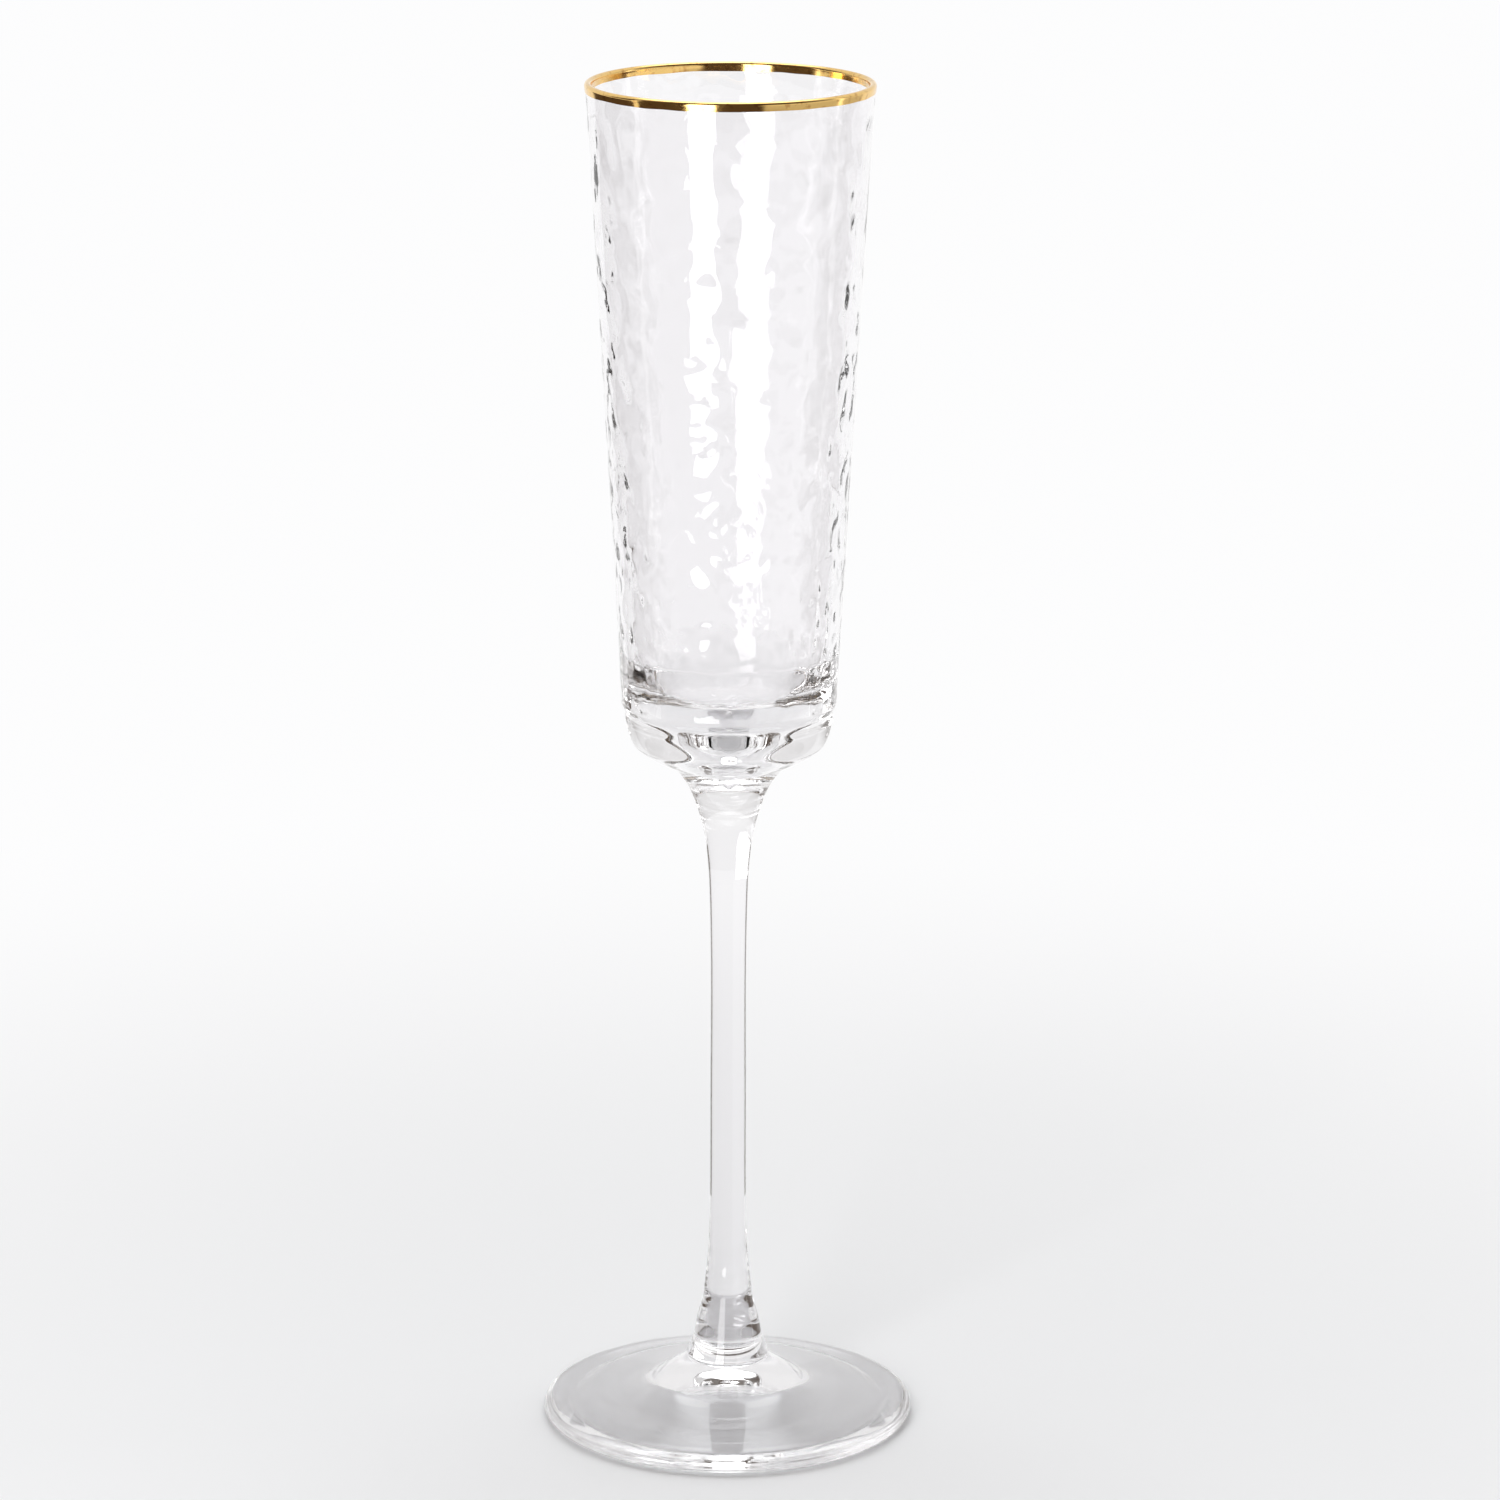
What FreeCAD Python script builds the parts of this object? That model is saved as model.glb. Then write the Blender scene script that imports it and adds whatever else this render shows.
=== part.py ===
import FreeCAD, Part
import math
import os

# Champagne flute, millimetres. The axis of the glass is Z and the table is z = 0.
# The glass is made of four gathers joined while hot (bowl, stem, collar, foot)
# and a fired gold band round the lip. Neighbouring gathers meet face to face.

# --- overall -----------------------------------------------------------------
HEIGHT = 260.0                 # table to the top of the lip
FOOT_RADIUS = 35.65
RIM_RADIUS = 27.0              # outside of the gold band
LIP_THICKNESS = 1.4            # glass and gilding together
GOLD_THICKNESS = 0.12          # how proud the gilding stands of the glass
GOLD_DEPTH = 1.8               # height of the gold band down the wall

# --- bowl --------------------------------------------------------------------
LEDGE_Z = 142.1                # lower end of the hammered wall
LEDGE_RADIUS = 20.4
BASE_TOP_Z = 141.4             # smooth solid base starts just under the ledge
BASE_TOP_RADIUS = 19.75
BASE_SIDE_Z = 138.8            # where the side of the base turns into its round corner
BASE_SIDE_RADIUS = 19.6
BASE_CORNER = (18.25, 134.6)   # a point half way round that corner
UNDERSIDE_RADIUS = 15.6        # outer end of the shallow underside
UNDERSIDE_Z = 132.45
CAVITY_WALL_RADIUS = 18.2      # inside of the wall where its round bottom starts
CAVITY_WALL_Z = 152.0
FLOOR_STATIONS = [             # deep round bottom of the inside, down to the middle
    (18.2, 152.0),
    (16.0, 146.0),
    (11.0, 140.0),
    (5.5, 135.6),
    (0.0, 133.6),
]
PIP_RADIUS = 1.5               # pointed pip under the bowl, seated in the stem
PIP_DEPTH = 2.0

# --- stem --------------------------------------------------------------------
NECK_Z = 129.7                 # joint between bowl and stem
NECK_RADIUS = 10.4
STEM_STATIONS = [              # radius at each height, from the joint down
    (10.4, 129.7),
    (9.1, 128.1),
    (7.8, 126.1),
    (6.5, 123.1),
    (5.25, 119.1),
    (4.3, 114.1),
    (3.72, 107.1),
    (3.4, 90.0),
    (3.45, 65.0),
    (3.5, 45.0),
    (3.75, 34.0),
    (4.4, 27.0),
]
TIP_RADIUS = 4.0               # rounded lower tip of the stem, inside the collar
TIP_DEPTH = 3.3

# --- collar ------------------------------------------------------------------
COLLAR_TOP_Z = 27.0
COLLAR_STATIONS = [            # radius at each height of the flaring side, from the top down
    (4.4, 27.0),
    (4.85, 23.0),
    (5.75, 20.0),
    (6.75, 15.2),
    (7.9, 12.4),
]
COLLAR_LIP_MIDDLE = (7.92, 11.9)
COLLAR_BOTTOM_Z = 11.6
COLLAR_SEAT_RADIUS = 7.75

# --- foot --------------------------------------------------------------------
FOOT_STATIONS = [              # upper face: a cone under the collar, then a shallower plate
    (7.75, 11.6),
    (10.2, 9.9),
    (13.2, 7.95),
    (15.6, 6.85),
    (20.0, 5.85),
    (27.0, 4.5),
    (34.0, 3.2),
]
FOOT_EDGE_Z = 1.7              # widest point of the rounded edge
REST_OUTER_RADIUS = 34.0       # ring that stands on the table
REST_INNER_RADIUS = 29.6
HOLLOW_STATIONS = [            # underside, which follows the upper face inwards
    (29.6, 0.0),
    (27.0, 0.5),
    (20.0, 1.4),
    (14.6, 2.4),
    (10.0, 4.0),
    (5.0, 5.6),
    (0.0, 6.2),
]

TOWARDS_AXIS = (-1, 0)
ORIGIN = FreeCAD.Vector(0, 0, 0)
Z_AXIS = FreeCAD.Vector(0, 0, 1)


def point(radius, z):
    return FreeCAD.Vector(radius, 0, z)


def line(start, end):
    return Part.LineSegment(point(*start), point(*end)).toShape()


def arc(start, middle, end):
    return Part.Arc(point(*start), point(*middle), point(*end)).toShape()


def curve(stations):
    """Smooth curve through a list of (radius, z)."""
    spline = Part.BSplineCurve()
    spline.interpolate(Points=[point(radius, z) for radius, z in stations])
    return spline.toShape()


def curve_with_slopes(stations, start_slope, end_slope):
    """Smooth curve through a list of (radius, z) with a set direction at each end."""
    spline = Part.BSplineCurve()
    spline.interpolate(
        Points=[point(radius, z) for radius, z in stations],
        InitialTangent=point(*start_slope),
        FinalTangent=point(*end_slope),
    )
    return spline.toShape()


def turned(edges):
    """Solid of revolution from edges that run from the axis round to the axis."""
    outline = Part.Wire(Part.__sortEdges__(edges))
    solid = Part.Face(outline).revolve(ORIGIN, Z_AXIS, 360)
    if not solid.isValid() or solid.ShapeType != "Solid":
        raise ValueError("a turned piece is not a valid solid")
    return solid


def wall_radius(z):
    """Outside of the hammered wall, which is a straight taper up to the lip."""
    rise = (z - LEDGE_Z) / (HEIGHT - LEDGE_Z)
    return LEDGE_RADIUS + rise * (RIM_RADIUS - GOLD_THICKNESS - LEDGE_RADIUS)


def cavity_radius(z):
    """Inside of the wall, which thins evenly from the base up to the lip."""
    lip_inside = RIM_RADIUS - LIP_THICKNESS + GOLD_THICKNESS
    rise = (z - CAVITY_WALL_Z) / (HEIGHT - CAVITY_WALL_Z)
    return CAVITY_WALL_RADIUS + rise * (lip_inside - CAVITY_WALL_RADIUS)


GOLD_LOW_Z = HEIGHT - GOLD_DEPTH
LIP_HALF = LIP_THICKNESS / 2
LIP_CENTRE_RADIUS = RIM_RADIUS - LIP_HALF
LIP_CENTRE_Z = HEIGHT - LIP_HALF
GLASS_LIP_HALF = LIP_HALF - GOLD_THICKNESS


def lip_outline(half, low_outer, low_inner):
    """The two sides and the round top of the lip, from outside to inside."""
    outer = (LIP_CENTRE_RADIUS + half, LIP_CENTRE_Z)
    top = (LIP_CENTRE_RADIUS, LIP_CENTRE_Z + half)
    inner = (LIP_CENTRE_RADIUS - half, LIP_CENTRE_Z)
    return [line(low_outer, outer), arc(outer, top, inner), line(inner, low_inner)]


def glass_lip():
    low_outer = (wall_radius(GOLD_LOW_Z), GOLD_LOW_Z)
    low_inner = (cavity_radius(GOLD_LOW_Z), GOLD_LOW_Z)
    return low_outer, low_inner, lip_outline(GLASS_LIP_HALF, low_outer, low_inner)


def bowl():
    """Hammered tapering bowl on a thick smooth base, with a pip in the middle."""
    low_outer, low_inner, lip = glass_lip()
    pip_rim = (PIP_RADIUS, NECK_Z)
    neck = (NECK_RADIUS, NECK_Z)
    underside = (UNDERSIDE_RADIUS, UNDERSIDE_Z)
    side = (BASE_SIDE_RADIUS, BASE_SIDE_Z)
    base_top = (BASE_TOP_RADIUS, BASE_TOP_Z)
    ledge = (LEDGE_RADIUS, LEDGE_Z)
    cavity_wall = (CAVITY_WALL_RADIUS, CAVITY_WALL_Z)
    floor = FLOOR_STATIONS[-1]
    outside = [
        line((0, NECK_Z - PIP_DEPTH), pip_rim),
        line(pip_rim, neck),
        line(neck, underside),
        arc(underside, BASE_CORNER, side),
        line(side, base_top),
        line(base_top, ledge),
        line(ledge, low_outer),
    ]
    down_the_wall = (cavity_wall[0] - low_inner[0], cavity_wall[1] - low_inner[1])
    inside = [
        line(low_inner, cavity_wall),
        curve_with_slopes(FLOOR_STATIONS, down_the_wall, TOWARDS_AXIS),
        line(floor, (0, NECK_Z - PIP_DEPTH)),
    ]
    return turned(outside + lip + inside)


def gold_rim():
    """Fired gold band: a thin skin over the lip, outside, top and inside."""
    low_outer, low_inner, glass = glass_lip()
    band_outer = (low_outer[0] + GOLD_THICKNESS, GOLD_LOW_Z)
    band_inner = (low_inner[0] - GOLD_THICKNESS, GOLD_LOW_Z)
    skin = lip_outline(LIP_HALF, band_outer, band_inner)
    ends = [line(low_outer, band_outer), line(band_inner, low_inner)]
    return turned(glass + skin + ends)


def stem_side():
    return curve(STEM_STATIONS)


def stem_tip():
    """Rounded lower tip: part of a ball centred on the axis, from the shoulder in."""
    ball_radius = (TIP_RADIUS**2 + TIP_DEPTH**2) / (2 * TIP_DEPTH)
    ball_z = COLLAR_TOP_Z - TIP_DEPTH + ball_radius
    half_way = math.asin(TIP_RADIUS / ball_radius) / 2
    middle = (ball_radius * math.sin(half_way), ball_z - ball_radius * math.cos(half_way))
    return arc((TIP_RADIUS, COLLAR_TOP_Z), middle, (0, COLLAR_TOP_Z - TIP_DEPTH))


def stem():
    """Solid drawn stem: a trumpet at the top and a rounded tip at the bottom."""
    pip_tip = (0, NECK_Z - PIP_DEPTH)
    pip_rim = (PIP_RADIUS, NECK_Z)
    shoulder = (TIP_RADIUS, COLLAR_TOP_Z)
    edges = [
        line(pip_tip, pip_rim),
        line(pip_rim, (NECK_RADIUS, NECK_Z)),
        stem_side(),
        line(STEM_STATIONS[-1], shoulder),
        stem_tip(),
        line((0, COLLAR_TOP_Z - TIP_DEPTH), pip_tip),
    ]
    return turned(edges)


def stem_collar():
    """Bell of glass that holds the stem's tip and spreads onto the foot."""
    shoulder = (TIP_RADIUS, COLLAR_TOP_Z)
    lip = COLLAR_STATIONS[-1]
    seat = (COLLAR_SEAT_RADIUS, COLLAR_BOTTOM_Z)
    edges = [
        stem_tip(),
        line(shoulder, COLLAR_STATIONS[0]),
        curve(COLLAR_STATIONS),
        arc(lip, COLLAR_LIP_MIDDLE, seat),
        line(seat, (0, COLLAR_BOTTOM_Z)),
        line((0, COLLAR_BOTTOM_Z), (0, COLLAR_TOP_Z - TIP_DEPTH)),
    ]
    return turned(edges)


def foot():
    """Round foot of even thickness: a cone, a plate, a rounded edge and a hollow underneath."""
    centre_top = (0, COLLAR_BOTTOM_Z)
    edge = (FOOT_RADIUS, FOOT_EDGE_Z)
    rest_outer = (REST_OUTER_RADIUS, 0)
    rest_inner = (REST_INNER_RADIUS, 0)
    edges = [
        line(centre_top, FOOT_STATIONS[0]),
        curve(FOOT_STATIONS),
        arc(rest_outer, edge, FOOT_STATIONS[-1]),
        line(rest_inner, rest_outer),
        curve(HOLLOW_STATIONS),
        line(HOLLOW_STATIONS[-1], centre_top),
    ]
    return turned(edges)


PIECES = {
    "bowl": bowl,
    "gold_rim": gold_rim,
    "stem": stem,
    "stem_collar": stem_collar,
    "foot": foot,
}


def main():
    os.makedirs("parts", exist_ok=True)
    for name, make in PIECES.items():
        shape = make()
        shape.exportStep(os.path.join("parts", name + ".step"))
        print(name, shape.ShapeType, round(shape.Volume, 1), shape.isValid(), shape.BoundBox)


main()
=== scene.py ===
import math

import bmesh
import bpy
from mathutils import Matrix, Vector, noise
from mathutils.geometry import interpolate_bezier


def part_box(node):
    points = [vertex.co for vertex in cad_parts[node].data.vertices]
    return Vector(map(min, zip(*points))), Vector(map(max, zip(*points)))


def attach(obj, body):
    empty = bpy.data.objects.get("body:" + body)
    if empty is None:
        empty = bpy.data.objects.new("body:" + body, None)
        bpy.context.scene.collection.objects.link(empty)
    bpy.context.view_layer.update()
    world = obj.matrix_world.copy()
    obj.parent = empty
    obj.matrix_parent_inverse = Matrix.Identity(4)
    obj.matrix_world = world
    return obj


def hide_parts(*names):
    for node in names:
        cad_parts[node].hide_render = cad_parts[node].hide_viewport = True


bl_info = {
    "name": "Hammered flute",
    "version": (1, 0, 0),
    "blender": (4, 5, 0),
    "location": "View3D > Sidebar > Flute",
    "description": "Makes the glass and gilding of a tall hammered flute, and its studio stage",
    "category": "Object",
}

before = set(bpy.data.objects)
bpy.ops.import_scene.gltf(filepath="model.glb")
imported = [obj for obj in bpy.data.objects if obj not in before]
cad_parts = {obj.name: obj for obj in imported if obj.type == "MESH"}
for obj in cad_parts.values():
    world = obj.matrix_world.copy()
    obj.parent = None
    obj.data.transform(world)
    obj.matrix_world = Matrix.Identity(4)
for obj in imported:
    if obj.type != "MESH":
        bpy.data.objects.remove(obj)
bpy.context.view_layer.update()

MM = 0.001
BODY = "root"


def node_top(node):
    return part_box(node)[1][2]


def node_bottom(node):
    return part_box(node)[0][2]


def node_radius(node):
    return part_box(node)[1][0]


def length_property(name, description, default):
    return bpy.props.FloatProperty(
        name=name,
        description=description,
        default=default,
        min=0.0,
        subtype="DISTANCE",
        unit="LENGTH",
        precision=5,
    )


def colour_property(name, description, default):
    return bpy.props.FloatVectorProperty(
        name=name,
        description=description,
        default=default,
        size=3,
        min=0.0,
        max=1.0,
        subtype="COLOR",
    )


def angle_property(name, description, degrees):
    return bpy.props.FloatProperty(
        name=name,
        description=description,
        default=math.radians(degrees),
        subtype="ANGLE",
        unit="ROTATION",
    )


def amount_property(name, description, default):
    return bpy.props.FloatProperty(name=name, description=description, default=default, min=0.0)


# --- sizes and colours a user would change -----------------------------------


class FLUTE_bowl_sizes(bpy.types.PropertyGroup):
    """Sizes of the bowl and its hammered wall."""

    lip_thickness: length_property("Lip", "Thickness of glass and gilding at the lip", 1.4 * MM)
    ledge_height: length_property("Ledge height", "Where the hammered wall ends", 142.1 * MM)
    ledge_radius: length_property("Ledge radius", "Outside of the wall at the ledge", 20.4 * MM)
    floor_height: length_property("Floor height", "Lowest point of the inside", 133.6 * MM)
    cell: length_property("Hammer mark", "Width of one hammer mark", 5.0 * MM)
    outer_depth: length_property("Outer depth", "Depth of the marks outside", 0.17 * MM)
    inner_depth: length_property("Inner depth", "Depth of the marks inside", 0.16 * MM)
    swell: length_property("Swell", "Height of the slow waves of the wall", 0.27 * MM)
    pip_radius: length_property("Pip radius", "Radius of the point under the bowl", 1.5 * MM)
    pip_depth: length_property("Pip depth", "Depth of the point under the bowl", 0.7 * MM)


class FLUTE_rim_sizes(bpy.types.PropertyGroup):
    """Sizes of the gold band."""

    thickness: length_property("Thickness", "How proud the gilding stands", 0.12 * MM)
    clearance: length_property("Clearance", "Space between gilding and glass", 0.015 * MM)
    unevenness: length_property("Unevenness", "Waver of the painted lower edge", 0.10 * MM)


class FLUTE_stem_sizes(bpy.types.PropertyGroup):
    """Sizes of the stem and of the collar round its tip."""

    waist: length_property("Waist", "Thinnest radius of the stem", 3.4 * MM)
    shoulder: length_property("Shoulder", "Radius where the collar starts", 4.4 * MM)
    tip_radius: length_property("Tip radius", "Radius of the rounded lower tip", 4.0 * MM)
    socket_depth: length_property("Socket", "Depth of the cone in the top face", 2.0 * MM)


class FLUTE_foot_sizes(bpy.types.PropertyGroup):
    """Sizes of the foot."""

    edge_height: length_property("Edge", "Height of the widest point of the edge", 1.7 * MM)
    rest_outer: length_property("Rest outside", "Outside of the ring that stands", 34.0 * MM)
    rest_inner: length_property("Rest inside", "Inside of the ring that stands", 29.6 * MM)


class FLUTE_finishes(bpy.types.PropertyGroup):
    """Colours of the glass and the gilding."""

    glass: colour_property("Glass", "Tint of the clear glass", (0.974, 0.967, 0.976))
    glass_ior: amount_property("Glass index", "Refractive index of the glass", 1.51)
    gold: colour_property("Gold", "Colour of the fired gold", (0.93, 0.62, 0.22))
    gold_dark: colour_property("Thin gold", "Gold where the brush left it thin", (0.70, 0.40, 0.13))


class FLUTE_stage_settings(bpy.types.PropertyGroup):
    """The pale floor, the studio lights and the camera."""

    floor_radius: length_property("Floor", "Radius of the pale floor", 6.0)
    table_radius: length_property("Table", "Radius of the part that mirrors in glass", 0.10)
    white: amount_property("White", "Brightness of the cards and the far floor", 0.98)
    room: colour_property("Room", "The dim warm room in front of the glass", (0.085, 0.060, 0.045))
    strip_distance: length_property("Strip distance", "Softboxes to the axis, level", 0.95)
    camera_distance: length_property("Distance", "Camera to the axis, level", 1.105)
    camera_height: length_property("Height", "Camera above the floor", 0.4191)
    camera_pitch: angle_property("Pitch", "How far the camera looks down", 14.526)
    camera_roll: angle_property("Roll", "How far the camera leans", 0.129)
    lens: bpy.props.FloatProperty(
        name="Lens", description="Focal length", default=144.57, unit="CAMERA"
    )
    side_shift: bpy.props.FloatProperty(
        name="Shift", description="Sideways shift of the frame", default=0.0140
    )


# --- outlines of turned pieces -----------------------------------------------


class Outline:
    """Half section of a turned piece, in (radius, height), walked point by point."""

    def __init__(self, radius, height):
        self.points = [Vector((radius, 0.0, height))]

    def line(self, radius, height, spacing):
        start = self.points[-1]
        end = Vector((radius, 0.0, height))
        count = max(1, round((end - start).length / spacing))
        for step in range(1, count + 1):
            self.points.append(start.lerp(end, step / count))
        return self

    def curve(self, stations, spacing):
        """Smooth curve from the last point through (radius, height) stations."""
        knots = [self.points[-1]] + [Vector((r, 0.0, z)) for r, z in stations]
        slopes = []
        for index in range(len(knots)):
            before = knots[max(index - 1, 0)]
            after = knots[min(index + 1, len(knots) - 1)]
            slopes.append((after - before).normalized())
        for index in range(len(knots) - 1):
            start, end = knots[index], knots[index + 1]
            reach = (end - start).length / 3
            count = max(2, round(3 * reach / spacing))
            span = interpolate_bezier(
                start,
                start + slopes[index] * reach,
                end - slopes[index + 1] * reach,
                end,
                count + 1,
            )
            self.points.extend(Vector(place) for place in span[1:])
        return self


def spin_round(mesh, geometry, angle, steps):
    """Spins geometry about the axis of the glass, and closes a whole turn."""
    bmesh.ops.spin(
        mesh,
        geom=geometry,
        cent=(0.0, 0.0, 0.0),
        axis=(0.0, 0.0, 1.0),
        angle=angle,
        steps=steps,
        use_merge=angle == math.tau,
    )


def turned_mesh(points, steps, is_ring=False):
    """Closed bmesh from a half section: one from axis to axis, or a ring clear of the axis."""
    mesh = bmesh.new()
    verts = [mesh.verts.new(place) for place in points]
    following = verts[1:] + verts[:1] if is_ring else verts[1:]
    edges = [mesh.edges.new(pair) for pair in zip(verts, following)]
    spin_round(mesh, verts + edges, math.tau, steps)
    bmesh.ops.remove_doubles(mesh, verts=mesh.verts, dist=0.001 * MM)
    bmesh.ops.recalc_face_normals(mesh, faces=mesh.faces)
    return mesh


def radius_of(place):
    return math.hypot(place.x, place.y)


def push_out(vert, distance):
    """Moves a vertex away from the axis by a distance."""
    away = Vector((vert.co.x, vert.co.y, 0.0)).normalized()
    vert.co += away * distance


def smooth_with_creases(mesh, crease_degrees):
    for face in mesh.faces:
        face.smooth = True
    for edge in mesh.edges:
        edge.smooth = edge.calc_face_angle(0.0) < math.radians(crease_degrees)


def object_from(mesh, name, materials):
    """Puts a finished bmesh into the scene as an object at the origin."""
    data = bpy.data.meshes.new(name)
    mesh.to_mesh(data)
    mesh.free()
    for material in materials:
        data.materials.append(material)
    made = bpy.data.objects.new(name, data)
    bpy.context.scene.collection.objects.link(made)
    return made


def finished_piece(name, mesh, materials, node):
    """Makes the object of a piece that stands for a CAD node."""
    piece = object_from(mesh, name, materials)
    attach(piece, BODY)
    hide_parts(node)
    return piece


def glass_piece(name, mesh, node):
    """A finished piece of clear glass, whose joint faces have the second material."""
    smooth_with_creases(mesh, GLASS_CREASE)
    return finished_piece(name, mesh, [polished_glass(), fused_joint()], node)


def lies_flat_at(face, height):
    return abs(face.calc_center_median().z - height) < 0.005 * MM


def mark_seams(mesh, is_seam):
    """Gives the faces of a hot joint the second material, so the glass runs on."""
    for face in mesh.faces:
        if is_seam(face):
            face.material_index = 1


# --- the glass wall ------------------------------------------------------------


GOLD_LOW = node_bottom("gold_rim")
LIP_TOP = node_top("gold_rim")
RIM_RADIUS = node_radius("gold_rim")
NECK_HEIGHT = node_top("stem")
NECK_RADIUS = node_radius("stem")
COLLAR_TOP = node_top("stem_collar")
COLLAR_BOTTOM = node_bottom("stem_collar")
STEM_TIP = node_bottom("stem")
FOOT_RADIUS = node_radius("foot")
CAVITY_WALL_RADIUS = 18.2 * MM
CAVITY_WALL_HEIGHT = 152.0 * MM
SEAT_RADIUS = 7.75 * MM  # where the collar sits on the foot

BOWL_STEPS = 256
STEM_STEPS = 128
FOOT_STEPS = 192
TIP_ROWS = 12
GLASS_CREASE = 35
GOLD_CREASE = 50
WALL_ROW = 0.75 * MM
BASE_ROW = 0.45 * MM
PIP_ROW = 0.3 * MM
FLAT_ROW = 2.0 * MM  # the faces of a joint are flat and stay large

MARKS_START = 0.3 * MM  # above the ledge
LEDGE_FADE = 1.5 * MM
LIP_FADE = 4.0 * MM
INSIDE_FADE = 4 * MM  # to each side of where the round bottom starts


def settings():
    return bpy.context.scene.flute_bowl, bpy.context.scene.flute_rim


def wall_radius(height):
    """Outside of the hammered wall, a straight taper up to the lip."""
    bowl, rim = settings()
    rise = (height - bowl.ledge_height) / (LIP_TOP - bowl.ledge_height)
    return bowl.ledge_radius + rise * (RIM_RADIUS - rim.thickness - bowl.ledge_radius)


def cavity_radius(height):
    """Inside of the wall, which thins evenly up to the lip."""
    bowl, rim = settings()
    lip_inside = RIM_RADIUS - bowl.lip_thickness + rim.thickness
    rise = (height - CAVITY_WALL_HEIGHT) / (LIP_TOP - CAVITY_WALL_HEIGHT)
    return CAVITY_WALL_RADIUS + rise * (lip_inside - CAVITY_WALL_RADIUS)


def lip_points(half, low_outer, low_inner, rows, turns):
    """Outer side, round top and inner side of the lip, for a given half thickness."""
    bowl, _ = settings()
    centre_radius = RIM_RADIUS - bowl.lip_thickness / 2
    centre_height = LIP_TOP - bowl.lip_thickness / 2
    outer = Vector((centre_radius + half, 0.0, centre_height))
    inner = Vector((centre_radius - half, 0.0, centre_height))
    points = [Vector(low_outer).lerp(outer, row / rows) for row in range(rows)]
    for turn in range(turns + 1):
        angle = math.pi * turn / turns
        points.append(
            Vector(
                (
                    centre_radius + half * math.cos(angle),
                    0.0,
                    centre_height + half * math.sin(angle),
                )
            )
        )
    points += [inner.lerp(Vector(low_inner), row / rows) for row in range(1, rows + 1)]
    return points


def bowl_outline():
    """From the middle of the joint, out over the base, up the wall, in and down again."""
    bowl, rim = settings()
    outline = Outline(0.0, NECK_HEIGHT - bowl.pip_depth)
    outline.line(bowl.pip_radius, NECK_HEIGHT, PIP_ROW)
    outline.line(NECK_RADIUS, NECK_HEIGHT, FLAT_ROW)
    outline.curve(
        [
            (13.0 * MM, 131.08 * MM),
            (15.6 * MM, 132.45 * MM),
            (18.25 * MM, 134.6 * MM),
            (19.6 * MM, 138.8 * MM),
            (19.72 * MM, 141.1 * MM),
            (20.02 * MM, 141.65 * MM),
            (bowl.ledge_radius, bowl.ledge_height + 0.35 * MM),
        ],
        BASE_ROW,
    )
    outline.line(wall_radius(GOLD_LOW), GOLD_LOW, WALL_ROW)
    low_outer = (wall_radius(GOLD_LOW), 0.0, GOLD_LOW)
    low_inner = (cavity_radius(GOLD_LOW), 0.0, GOLD_LOW)
    half = bowl.lip_thickness / 2 - rim.thickness
    outline.points += lip_points(half, low_outer, low_inner, 2, 10)[1:]
    outline.line(CAVITY_WALL_RADIUS, CAVITY_WALL_HEIGHT, WALL_ROW)
    outline.curve(
        [
            (16.0 * MM, 146.0 * MM),
            (11.0 * MM, 140.0 * MM),
            (5.5 * MM, 135.6 * MM),
            (0.0, bowl.floor_height),
        ],
        BASE_ROW,
    )
    return outline


def dimple(place, cell, stretch):
    """Depth of the hammer marks at a place, from 0 on a ridge to 1 in a hollow."""
    spot = Vector((place.x, place.y, place.z * stretch)) / cell
    nearest, second = noise.voronoi(spot)[0][:2]
    edge = min(1.0, (second - nearest) / 0.75)
    return edge * edge * (3.0 - 2.0 * edge)


def wave(place, length, stretch):
    """A slow swell of the wall, from about -1 to 1."""
    return noise.noise(Vector((place.x, place.y, place.z * stretch)) / length)


def hammered(mesh):
    """Dents both sides of the wall: long soft marks at the lip, crisp ones at the base."""
    bowl, _ = settings()
    lowest = bowl.ledge_height + MARKS_START
    wall_height = GOLD_LOW - lowest
    inside = Vector((0.0, 0.0, 40 * MM))
    for vert in mesh.verts:
        height = vert.co.z
        if height < lowest or height > GOLD_LOW:
            continue
        up = (height - lowest) / wall_height
        fade_in = min(1.0, (height - lowest) / LEDGE_FADE)
        fade_out = min(1.0, (GOLD_LOW - height) / LIP_FADE)
        crisp = 1.0 - up**1.6
        stretch = 1.0 - 0.45 * up
        cell = bowl.cell * (0.62 + 0.5 * up)
        middle = (wall_radius(height) + cavity_radius(height)) / 2
        if radius_of(vert.co) > middle:
            depth = bowl.outer_depth * (0.18 + 0.82 * crisp) * dimple(vert.co, cell, stretch)
            swell = bowl.swell * (0.5 + wave(vert.co, 5.5 * MM, 0.8) / 2) * 0.8
            push_out(vert, -(depth + swell) * fade_in * fade_out)
        elif height > CAVITY_WALL_HEIGHT - INSIDE_FADE:
            start = min(1.0, (height - CAVITY_WALL_HEIGHT + INSIDE_FADE) / (2 * INSIDE_FADE))
            depth = bowl.inner_depth * (0.25 + 0.75 * crisp) * dimple(vert.co + inside, cell, stretch)
            swell = bowl.swell * wave(vert.co + inside, 5.0 * MM, 0.75)
            push_out(vert, (depth + swell) * start * fade_out)


def make_bowl():
    mesh = turned_mesh(bowl_outline().points, BOWL_STEPS)
    hammered(mesh)
    pip = bpy.context.scene.flute_bowl.pip_radius

    def is_joint(face):
        return lies_flat_at(face, NECK_HEIGHT) and radius_of(face.calc_center_median()) > pip

    mark_seams(mesh, is_joint)
    return glass_piece("hammered_bowl", mesh, "bowl")


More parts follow.
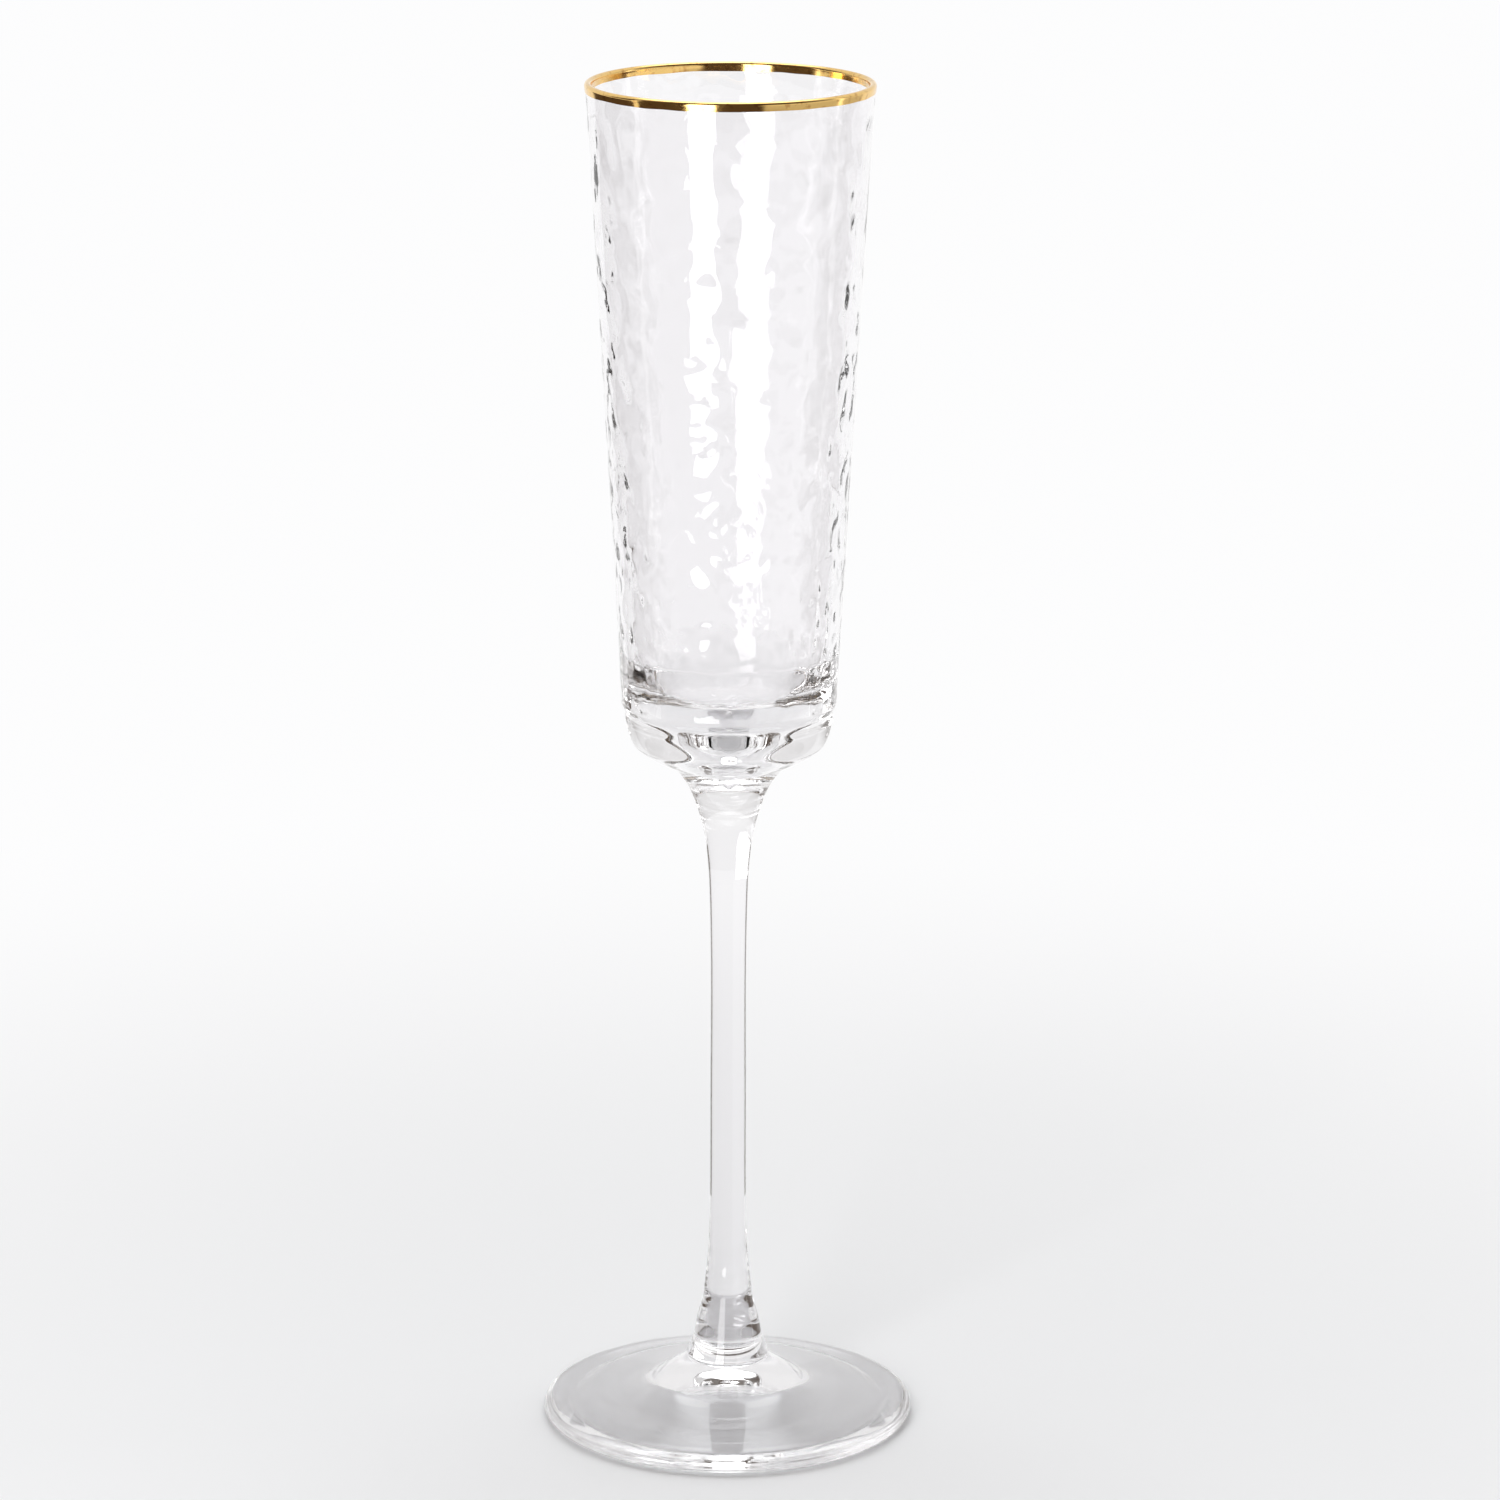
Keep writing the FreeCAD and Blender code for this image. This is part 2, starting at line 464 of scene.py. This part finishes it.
def make_gold_rim():
    bowl, rim = settings()
    low_outer = Vector((wall_radius(GOLD_LOW), 0.0, GOLD_LOW))
    low_inner = Vector((cavity_radius(GOLD_LOW), 0.0, GOLD_LOW))
    proud = Vector((rim.thickness, 0.0, 0.0))
    gap = Vector((rim.clearance, 0.0, 0.0))
    half = bowl.lip_thickness / 2
    skin = lip_points(half, low_outer + proud, low_inner - proud, 4, 20)
    lining = lip_points(half - rim.thickness + rim.clearance, low_outer + gap, low_inner - gap, 4, 20)
    mesh = turned_mesh(skin + lining[::-1], BOWL_STEPS, is_ring=True)
    lowest = GOLD_LOW + 0.7 * MM
    for vert in mesh.verts:
        if vert.co.z < lowest:
            spot = vert.co / (4.0 * MM)
            share = (lowest - vert.co.z) / (lowest - GOLD_LOW)
            vert.co.z += share * rim.unevenness * (1.0 + noise.noise(spot))
    smooth_with_creases(mesh, GOLD_CREASE)
    return finished_piece("gold_lip_band", mesh, [fired_gold()], "gold_rim")


def stem_tip_points():
    """Rounded lower tip of the stem, part of a ball, from the axis out to the shoulder."""
    radius = bpy.context.scene.flute_stem.tip_radius
    depth = COLLAR_TOP - STEM_TIP
    ball = (radius**2 + depth**2) / (2 * depth)
    opening = math.asin(radius / ball)
    points = []
    for row in range(TIP_ROWS + 1):
        angle = opening * row / TIP_ROWS
        points.append(Vector((ball * math.sin(angle), 0.0, STEM_TIP + ball * (1 - math.cos(angle)))))
    return points


def make_stem():
    stem = bpy.context.scene.flute_stem
    bowl, _ = settings()
    outline = Outline(0.0, NECK_HEIGHT - stem.socket_depth)
    outline.line(bowl.pip_radius, NECK_HEIGHT, PIP_ROW)
    outline.line(NECK_RADIUS, NECK_HEIGHT, FLAT_ROW)
    outline.curve(
        [
            (9.1 * MM, 128.1 * MM),
            (7.8 * MM, 126.1 * MM),
            (6.5 * MM, 123.1 * MM),
            (5.25 * MM, 119.1 * MM),
            (4.3 * MM, 114.1 * MM),
            (3.72 * MM, 107.1 * MM),
            (stem.waist, 90.0 * MM),
            (3.45 * MM, 65.0 * MM),
            (3.5 * MM, 45.0 * MM),
            (3.75 * MM, 34.0 * MM),
            (stem.shoulder, COLLAR_TOP),
        ],
        0.7 * MM,
    )
    outline.line(stem.tip_radius, COLLAR_TOP, 1.0 * MM)
    outline.points += stem_tip_points()[-2::-1]
    mesh = turned_mesh(outline.points, STEM_STEPS)

    def is_joint(face):
        centre = face.calc_center_median()
        on_top = lies_flat_at(face, NECK_HEIGHT) and radius_of(centre) > bowl.pip_radius
        return on_top or centre.z < COLLAR_TOP + 0.001 * MM

    mark_seams(mesh, is_joint)
    return glass_piece("drawn_stem", mesh, "stem")


def make_collar():
    stem = bpy.context.scene.flute_stem
    outline = Outline(0.0, STEM_TIP)
    outline.points += stem_tip_points()[1:]
    outline.line(stem.shoulder, COLLAR_TOP, 1.0 * MM)
    outline.curve(
        [
            (4.85 * MM, 23.0 * MM),
            (5.75 * MM, 20.0 * MM),
            (6.55 * MM, 16.0 * MM),
            (6.75 * MM, 15.2 * MM),
            (7.3 * MM, 13.8 * MM),
            (7.86 * MM, 12.4 * MM),
            (7.92 * MM, 12.0 * MM),
            (SEAT_RADIUS, COLLAR_BOTTOM),
        ],
        0.35 * MM,
    )
    outline.line(0.0, COLLAR_BOTTOM, FLAT_ROW)
    mesh = turned_mesh(outline.points, STEM_STEPS)

    def is_joint(face):
        centre = face.calc_center_median()
        in_socket = radius_of(centre) < stem.shoulder and centre.z > STEM_TIP - 0.01 * MM
        return (face.normal.z > 0 and in_socket) or lies_flat_at(face, COLLAR_BOTTOM)

    mark_seams(mesh, is_joint)
    return glass_piece("bell_collar", mesh, "stem_collar")


def make_foot():
    foot = bpy.context.scene.flute_foot
    outline = Outline(0.0, COLLAR_BOTTOM)
    outline.line(SEAT_RADIUS, COLLAR_BOTTOM, FLAT_ROW)
    outline.curve(
        [
            (10.2 * MM, 9.9 * MM),
            (13.2 * MM, 7.95 * MM),
            (14.4 * MM, 7.25 * MM),
            (15.6 * MM, 6.85 * MM),
            (20.0 * MM, 5.85 * MM),
            (27.0 * MM, 4.5 * MM),
            (32.0 * MM, 3.55 * MM),
            (34.0 * MM, 3.2 * MM),
            (35.15 * MM, 2.75 * MM),
            (FOOT_RADIUS, foot.edge_height),
            (35.1 * MM, 0.55 * MM),
            (foot.rest_outer, 0.0),
        ],
        0.35 * MM,
    )
    outline.line(foot.rest_inner, 0.0, 1.0 * MM)
    outline.curve(
        [
            (27.0 * MM, 0.5 * MM),
            (20.0 * MM, 1.4 * MM),
            (14.6 * MM, 2.4 * MM),
            (10.0 * MM, 4.0 * MM),
            (5.0 * MM, 5.6 * MM),
            (0.0, 6.2 * MM),
        ],
        0.5 * MM,
    )
    mesh = turned_mesh(outline.points, FOOT_STEPS)
    mark_seams(mesh, lambda face: lies_flat_at(face, COLLAR_BOTTOM))
    return glass_piece("round_foot", mesh, "foot")


# --- materials -----------------------------------------------------------------


MADE = {}
UNIT = (0.0, 1.0)


def made_once(make):
    """Keeps a material after its first making, and never takes a CAD one of that name."""

    def material():
        name = make.__name__
        if name not in MADE:
            if name in bpy.data.materials:
                raise RuntimeError("the frame already has a material named " + name)
            MADE[name] = make(name)
        return MADE[name]

    return material


def new_material(name):
    """A material with a Principled shader and nothing else."""
    material = bpy.data.materials.new(name)
    material.use_nodes = True
    return material, material.node_tree, material.node_tree.nodes["Principled BSDF"]


def noise_pattern(tree, stretch, scale, detail):
    """Noise in the piece's own space, stretched along its axes."""
    place = tree.nodes.new("ShaderNodeTexCoord")
    mapping = tree.nodes.new("ShaderNodeMapping")
    mapping.inputs["Scale"].default_value = stretch
    pattern = tree.nodes.new("ShaderNodeTexNoise")
    pattern.inputs["Scale"].default_value = scale
    pattern.inputs["Detail"].default_value = detail
    tree.links.new(place.outputs["Object"], mapping.inputs["Vector"])
    tree.links.new(mapping.outputs["Vector"], pattern.inputs["Vector"])
    return pattern.outputs["Fac"]


def remap(tree, value, source, target, smooth=False):
    """Maps a value from one (low, high) range onto another, and holds it there."""
    node = tree.nodes.new("ShaderNodeMapRange")
    node.interpolation_type = "SMOOTHSTEP" if smooth else "LINEAR"
    for socket, limit in zip(("From Min", "From Max", "To Min", "To Max"), source + target):
        node.inputs[socket].default_value = limit
    tree.links.new(value, node.inputs["Value"])
    return node.outputs["Result"]


@made_once
def polished_glass(name):
    finishes = bpy.context.scene.flute_finishes
    material, tree, shader = new_material(name)
    shader.inputs["Base Color"].default_value = (*finishes.glass, 1.0)
    shader.inputs["IOR"].default_value = finishes.glass_ior
    shader.inputs["Transmission Weight"].default_value = 1.0
    # faint upright cords, as drawn glass has
    cords = noise_pattern(tree, stretch=(1.0, 1.0, 0.22), scale=260.0, detail=2.0)
    bump = tree.nodes.new("ShaderNodeBump")
    bump.inputs["Strength"].default_value = 0.35
    bump.inputs["Distance"].default_value = 0.01 * MM
    tree.links.new(cords, bump.inputs["Height"])
    tree.links.new(bump.outputs["Normal"], shader.inputs["Normal"])
    # smears left by a polishing cloth
    smears = noise_pattern(tree, stretch=(1.0, 1.0, 0.6), scale=45.0, detail=4.0)
    rough = remap(tree, smears, (0.45, 0.80), (0.0, 0.04))
    tree.links.new(rough, shader.inputs["Roughness"])
    return material


@made_once
def fused_joint(name):
    """The faces of a hot joint, where the glass of two pieces has run together."""
    material, _, shader = new_material(name)
    shader.inputs["Alpha"].default_value = 0.0
    return material


@made_once
def fired_gold(name):
    finishes = bpy.context.scene.flute_finishes
    material, tree, shader = new_material(name)
    nodes, links = tree.nodes, tree.links
    place = nodes.new("ShaderNodeTexCoord")
    streaks = nodes.new("ShaderNodeTexNoise")
    streaks.inputs["Scale"].default_value = 900.0
    streaks.inputs["Detail"].default_value = 3.0
    ramp = nodes.new("ShaderNodeValToRGB")
    ramp.color_ramp.elements[0].position = 0.30
    ramp.color_ramp.elements[0].color = (*finishes.gold_dark, 1.0)
    ramp.color_ramp.elements[1].position = 0.45
    ramp.color_ramp.elements[1].color = (*finishes.gold, 1.0)
    links.new(place.outputs["Object"], streaks.inputs["Vector"])
    links.new(streaks.outputs["Fac"], ramp.inputs["Fac"])
    links.new(ramp.outputs["Color"], shader.inputs["Base Color"])
    shader.inputs["Metallic"].default_value = 1.0
    rough = remap(tree, streaks.outputs["Fac"], UNIT, (0.05, 0.16))
    links.new(rough, shader.inputs["Roughness"])
    return material


# --- stage -----------------------------------------------------------------------


DARK = (0.0, 0.0, 0.0)
LIT = (1.0, 1.0, 1.0)
FLOOR_COLOUR = (0.85, 0.855, 0.865, 1.0)
FAR_FLOOR_COLOUR = (0.98, 0.98, 0.985, 1.0)
FLOOR_FADE = (0.02, 0.45)  # from matt floor to even white, metres from the axis
FLOOR_STEPS = 96
RIGHT_CARD_SHARE = 0.62
SWEEP_SHARE = 0.88
LAMP_STRENGTH = 3.1
# height above the floor of the dark sheets of painted shade
SHADE_SHEET_HEIGHT = 0.3 * MM
STRIP_LENGTH = 1.0
SENSOR_WIDTH = 36.0


def floor_material():
    """Pale floor: lit near the glass, and an even white further out."""
    material = bpy.data.materials.new("pale_floor")
    material.use_nodes = True
    tree = material.node_tree
    nodes, links = tree.nodes, tree.links
    nodes.clear()
    place = nodes.new("ShaderNodeTexCoord")
    distance = nodes.new("ShaderNodeVectorMath")
    distance.operation = "LENGTH"
    matt = nodes.new("ShaderNodeBsdfDiffuse")
    matt.inputs["Color"].default_value = FLOOR_COLOUR
    glow = nodes.new("ShaderNodeEmission")
    glow.inputs["Color"].default_value = FAR_FLOOR_COLOUR
    mix = nodes.new("ShaderNodeMixShader")
    out = nodes.new("ShaderNodeOutputMaterial")
    links.new(place.outputs["Object"], distance.inputs[0])
    fade = remap(tree, distance.outputs["Value"], FLOOR_FADE, UNIT, smooth=True)
    links.new(fade, mix.inputs["Fac"])
    links.new(matt.outputs["BSDF"], mix.inputs[1])
    links.new(glow.outputs["Emission"], mix.inputs[2])
    links.new(mix.outputs["Shader"], out.inputs["Surface"])
    return material


def floor_ring(name, inner, outer, material):
    """A flat ring of floor, or a disc where the inner radius is nought."""
    mesh = bmesh.new()
    if inner > 0.0:
        verts = [mesh.verts.new((inner, 0.0, 0.0)), mesh.verts.new((outer, 0.0, 0.0))]
        edge = mesh.edges.new(verts)
        spin_round(mesh, verts + [edge], math.tau, FLOOR_STEPS)
    else:
        bmesh.ops.create_circle(mesh, cap_ends=True, segments=FLOOR_STEPS, radius=outer)
    bmesh.ops.translate(mesh, verts=mesh.verts, vec=(0.0, 0.0, -0.05 * MM))
    ring = object_from(mesh, name, [material])
    return ring


def colour_steps(tree, value, steps):
    """A ramp whose (position, colour) steps blend smoothly into each other."""
    ramp = tree.nodes.new("ShaderNodeValToRGB")
    ramp.color_ramp.interpolation = "EASE"
    tree.links.new(value, ramp.inputs["Fac"])
    elements = ramp.color_ramp.elements
    for index, (position, colour) in enumerate(steps):
        element = elements[index] if index < 2 else elements.new(position)
        element.position = position
        element.color = (*colour, 1.0)
    return ramp.outputs["Color"]


def maths(tree, operation, *values):
    node = tree.nodes.new("ShaderNodeMath")
    node.operation = operation
    for socket, value in zip(node.inputs, values):
        if isinstance(value, (int, float)):
            socket.default_value = value
        else:
            tree.links.new(value, socket)
    return node.outputs["Value"]


def facing(tree, direction, toward, start, full):
    """Rises smoothly from 0 to 1 as a direction comes nearer to another one."""
    dot = tree.nodes.new("ShaderNodeVectorMath")
    dot.operation = "DOT_PRODUCT"
    tree.links.new(direction, dot.inputs[0])
    dot.inputs[1].default_value = Vector(toward).normalized()
    return remap(tree, dot.outputs["Value"], (start, full), UNIT, smooth=True)


def studio_world():
    """A dim warm room in front, a tall white sweep behind, a card and a lamp above."""
    stage = bpy.context.scene.flute_stage
    world = bpy.data.worlds.new("studio")
    bpy.context.scene.world = world
    world.use_nodes = True
    tree = world.node_tree
    tree.nodes.clear()
    place = tree.nodes.new("ShaderNodeTexCoord")
    parts = tree.nodes.new("ShaderNodeSeparateXYZ")
    direction = place.outputs["Generated"]
    tree.links.new(direction, parts.inputs["Vector"])
    upright = maths(tree, "MULTIPLY_ADD", parts.outputs["Z"], 0.5, 0.5)
    bearing = maths(
        tree, "ARCTAN2", parts.outputs["X"], maths(tree, "MULTIPLY", parts.outputs["Y"], -1.0)
    )
    turn = maths(tree, "MULTIPLY_ADD", bearing, 0.5 / math.pi, 0.5)
    # eye level: white behind and beside, dark in front of the glass
    around = colour_steps(tree, turn, [(0.0, LIT), (0.285, LIT), (0.295, DARK), (0.56, DARK), (0.57, LIT)])
    band = colour_steps(tree, upright, [(0.49, DARK), (0.50, LIT), (0.55, LIT), (0.58, DARK)])
    behind = colour_steps(tree, turn, [(0.11, LIT), (0.125, DARK), (0.84, DARK), (0.86, LIT)])
    below = colour_steps(tree, upright, [(0.50, LIT), (0.52, DARK)])
    # a tall grey card on the right
    card_side = colour_steps(tree, turn, [(0.57, DARK), (0.58, LIT), (0.85, LIT), (0.87, DARK)])
    card_rise = colour_steps(tree, upright, [(0.30, DARK), (0.33, LIT), (0.72, LIT), (0.75, DARK)])
    above_floor = colour_steps(tree, upright, [(0.495, DARK), (0.50, LIT)])
    sweep = maths(tree, "MULTIPLY", facing(tree, direction, (0.0, 0.80, 0.60), 0.30, 0.62), above_floor)
    sweep = maths(tree, "MULTIPLY", sweep, SWEEP_SHARE)
    lamp = facing(tree, direction, (0.0, 0.42, 0.91), 0.88, 0.93)
    white = maths(
        tree,
        "MAXIMUM",
        maths(tree, "MULTIPLY", around, band),
        maths(tree, "MULTIPLY", maths(tree, "MULTIPLY", card_side, card_rise), RIGHT_CARD_SHARE),
    )
    white = maths(tree, "MAXIMUM", white, maths(tree, "MULTIPLY", behind, below))
    white = maths(tree, "MAXIMUM", white, sweep)
    strength = maths(tree, "MAXIMUM", white, maths(tree, "MULTIPLY", lamp, LAMP_STRENGTH))
    room = tree.nodes.new("ShaderNodeBackground")
    room.inputs["Color"].default_value = (*stage.room, 1.0)
    cards = tree.nodes.new("ShaderNodeBackground")
    cards.inputs["Color"].default_value = (*(stage.white - part for part in stage.room), 1.0)
    tree.links.new(strength, cards.inputs["Strength"])
    both = tree.nodes.new("ShaderNodeAddShader")
    out = tree.nodes.new("ShaderNodeOutputWorld")
    tree.links.new(room.outputs["Background"], both.inputs[0])
    tree.links.new(cards.outputs["Background"], both.inputs[1])
    tree.links.new(both.outputs["Shader"], out.inputs["Surface"])
    return world


def shade_sheet(name, left, right):
    """A dark sheet of painted shade on the floor beside the glass: it glows in the dim room colour, is
    seen only through the glass, casts no shadow and puts dark strokes into the glass.
    """
    stage = bpy.context.scene.flute_stage
    mesh = bmesh.new()
    start = math.radians(left)
    reaches = (stage.table_radius * 1.2, stage.floor_radius / 2)
    ends = [
        mesh.verts.new((far * math.sin(start), -far * math.cos(start), SHADE_SHEET_HEIGHT))
        for far in reaches
    ]
    edge = mesh.edges.new(ends)
    spin_round(mesh, ends + [edge], math.radians(right - left), 16)
    material = bpy.data.materials.new(name)
    material.use_nodes = True
    nodes = material.node_tree.nodes
    nodes.clear()
    # painted shade: the sheet glows in the dim room colour instead of taking light
    shade_glow = nodes.new("ShaderNodeEmission")
    shade_glow.inputs["Color"].default_value = (*stage.room, 1.0)
    out = nodes.new("ShaderNodeOutputMaterial")
    material.node_tree.links.new(shade_glow.outputs["Emission"], out.inputs["Surface"])
    flag = object_from(mesh, name, [material])
    flag.visible_camera = False
    flag.visible_diffuse = False
    flag.visible_glossy = False
    flag.visible_shadow = False
    return flag


def strip_light(name, azimuth, height, width, power):
    """A tall softbox that faces the glass, unseen by the camera itself."""
    lamp = bpy.data.lights.new(name, "AREA")
    lamp.shape = "RECTANGLE"
    lamp.size = width
    lamp.size_y = STRIP_LENGTH
    lamp.energy = power
    box = bpy.data.objects.new(name, lamp)
    angle = math.radians(azimuth)
    distance = bpy.context.scene.flute_stage.strip_distance
    box.location = (distance * math.sin(angle), -distance * math.cos(angle), height)
    box.rotation_euler = (math.pi / 2, 0.0, angle)
    box.visible_camera = False
    bpy.context.scene.collection.objects.link(box)
    return box


def make_camera():
    stage = bpy.context.scene.flute_stage
    camera_data = bpy.data.cameras.new("camera")
    camera_data.lens = stage.lens
    camera_data.sensor_width = SENSOR_WIDTH
    camera_data.shift_x = stage.side_shift
    camera = bpy.data.objects.new("camera", camera_data)
    camera.location = (0.0, -stage.camera_distance, stage.camera_height)
    lean = Matrix.Rotation(stage.camera_roll, 3, "Z")
    look = Matrix.Rotation(math.pi / 2 - stage.camera_pitch, 3, "X")
    camera.rotation_euler = (look @ lean).to_euler()
    bpy.context.scene.collection.objects.link(camera)
    bpy.context.scene.camera = camera


def render_settings():
    """Plain colours, and enough bounces for light to cross every wall of the glass."""
    scene = bpy.context.scene
    scene.view_settings.view_transform = "Standard"
    scene.cycles.max_bounces = 40
    scene.cycles.transmission_bounces = 40
    scene.cycles.glossy_bounces = 32
    scene.cycles.transparent_max_bounces = 16


def make_stage():
    stage = bpy.context.scene.flute_stage
    pale = floor_material()
    floor_ring("table", 0.0, stage.table_radius, pale)
    far = floor_ring("floor", stage.table_radius, stage.floor_radius, pale)
    far.visible_glossy = False
    studio_world()
    strip_light("front_strip", azimuth=-23.0, height=0.40, width=0.38, power=6.4)
    strip_light("left_strip", azimuth=-80.0, height=0.30, width=0.08, power=0.25)
    strip_light("right_strip", azimuth=97.0, height=0.30, width=0.08, power=0.25)
    # dark sheets of painted shade, seen only through the glass, that put dark strokes into its edges
    shade_sheet("left_shade_sheet", left=-122.0, right=-101.0)
    shade_sheet("right_shade_sheet", left=84.0, right=122.0)
    make_camera()
    render_settings()


# --- operators and panel ---------------------------------------------------------


class FLUTE_OT_bowl(bpy.types.Operator):
    """Makes the hammered bowl."""

    bl_idname = "flute.bowl"
    bl_label = "Bowl"

    def execute(self, context):
        make_bowl()
        return {"FINISHED"}


class FLUTE_OT_gold_rim(bpy.types.Operator):
    """Makes the fired gold band round the lip."""

    bl_idname = "flute.gold_rim"
    bl_label = "Gold rim"

    def execute(self, context):
        make_gold_rim()
        return {"FINISHED"}


class FLUTE_OT_stem(bpy.types.Operator):
    """Makes the drawn stem."""

    bl_idname = "flute.stem"
    bl_label = "Stem"

    def execute(self, context):
        make_stem()
        return {"FINISHED"}


class FLUTE_OT_collar(bpy.types.Operator):
    """Makes the bell collar between stem and foot."""

    bl_idname = "flute.collar"
    bl_label = "Collar"

    def execute(self, context):
        make_collar()
        return {"FINISHED"}


class FLUTE_OT_foot(bpy.types.Operator):
    """Makes the round foot."""

    bl_idname = "flute.foot"
    bl_label = "Foot"

    def execute(self, context):
        make_foot()
        return {"FINISHED"}


class FLUTE_OT_stage(bpy.types.Operator):
    """Makes the pale floor, the studio light and the camera."""

    bl_idname = "flute.stage"
    bl_label = "Stage"

    def execute(self, context):
        make_stage()
        return {"FINISHED"}


OPERATORS = (
    FLUTE_OT_bowl,
    FLUTE_OT_gold_rim,
    FLUTE_OT_stem,
    FLUTE_OT_collar,
    FLUTE_OT_foot,
    FLUTE_OT_stage,
)

GROUPS = {
    "flute_bowl": FLUTE_bowl_sizes,
    "flute_rim": FLUTE_rim_sizes,
    "flute_stem": FLUTE_stem_sizes,
    "flute_foot": FLUTE_foot_sizes,
    "flute_finishes": FLUTE_finishes,
    "flute_stage": FLUTE_stage_settings,
}


class FLUTE_PT_panel(bpy.types.Panel):
    """Lists the pieces of the flute."""

    bl_idname = "FLUTE_PT_panel"
    bl_label = "Flute"
    bl_space_type = "VIEW_3D"
    bl_region_type = "UI"
    bl_category = "Flute"

    def draw(self, context):
        for name, group in GROUPS.items():
            box = self.layout.box()
            for key in group.__annotations__:
                box.prop(getattr(context.scene, name), key)
        for operator in OPERATORS:
            self.layout.operator(operator.bl_idname)


def register():
    for name, group in GROUPS.items():
        bpy.utils.register_class(group)
        setattr(bpy.types.Scene, name, bpy.props.PointerProperty(type=group))
    for operator in OPERATORS:
        bpy.utils.register_class(operator)
    bpy.utils.register_class(FLUTE_PT_panel)


def unregister():
    bpy.utils.unregister_class(FLUTE_PT_panel)
    for operator in reversed(OPERATORS):
        bpy.utils.unregister_class(operator)
    for name, group in reversed(list(GROUPS.items())):
        delattr(bpy.types.Scene, name)
        bpy.utils.unregister_class(group)


def main():
    register()
    bpy.ops.flute.bowl()
    bpy.ops.flute.gold_rim()
    bpy.ops.flute.stem()
    bpy.ops.flute.collar()
    bpy.ops.flute.foot()
    bpy.ops.flute.stage()


if __name__ == "__main__":
    main()
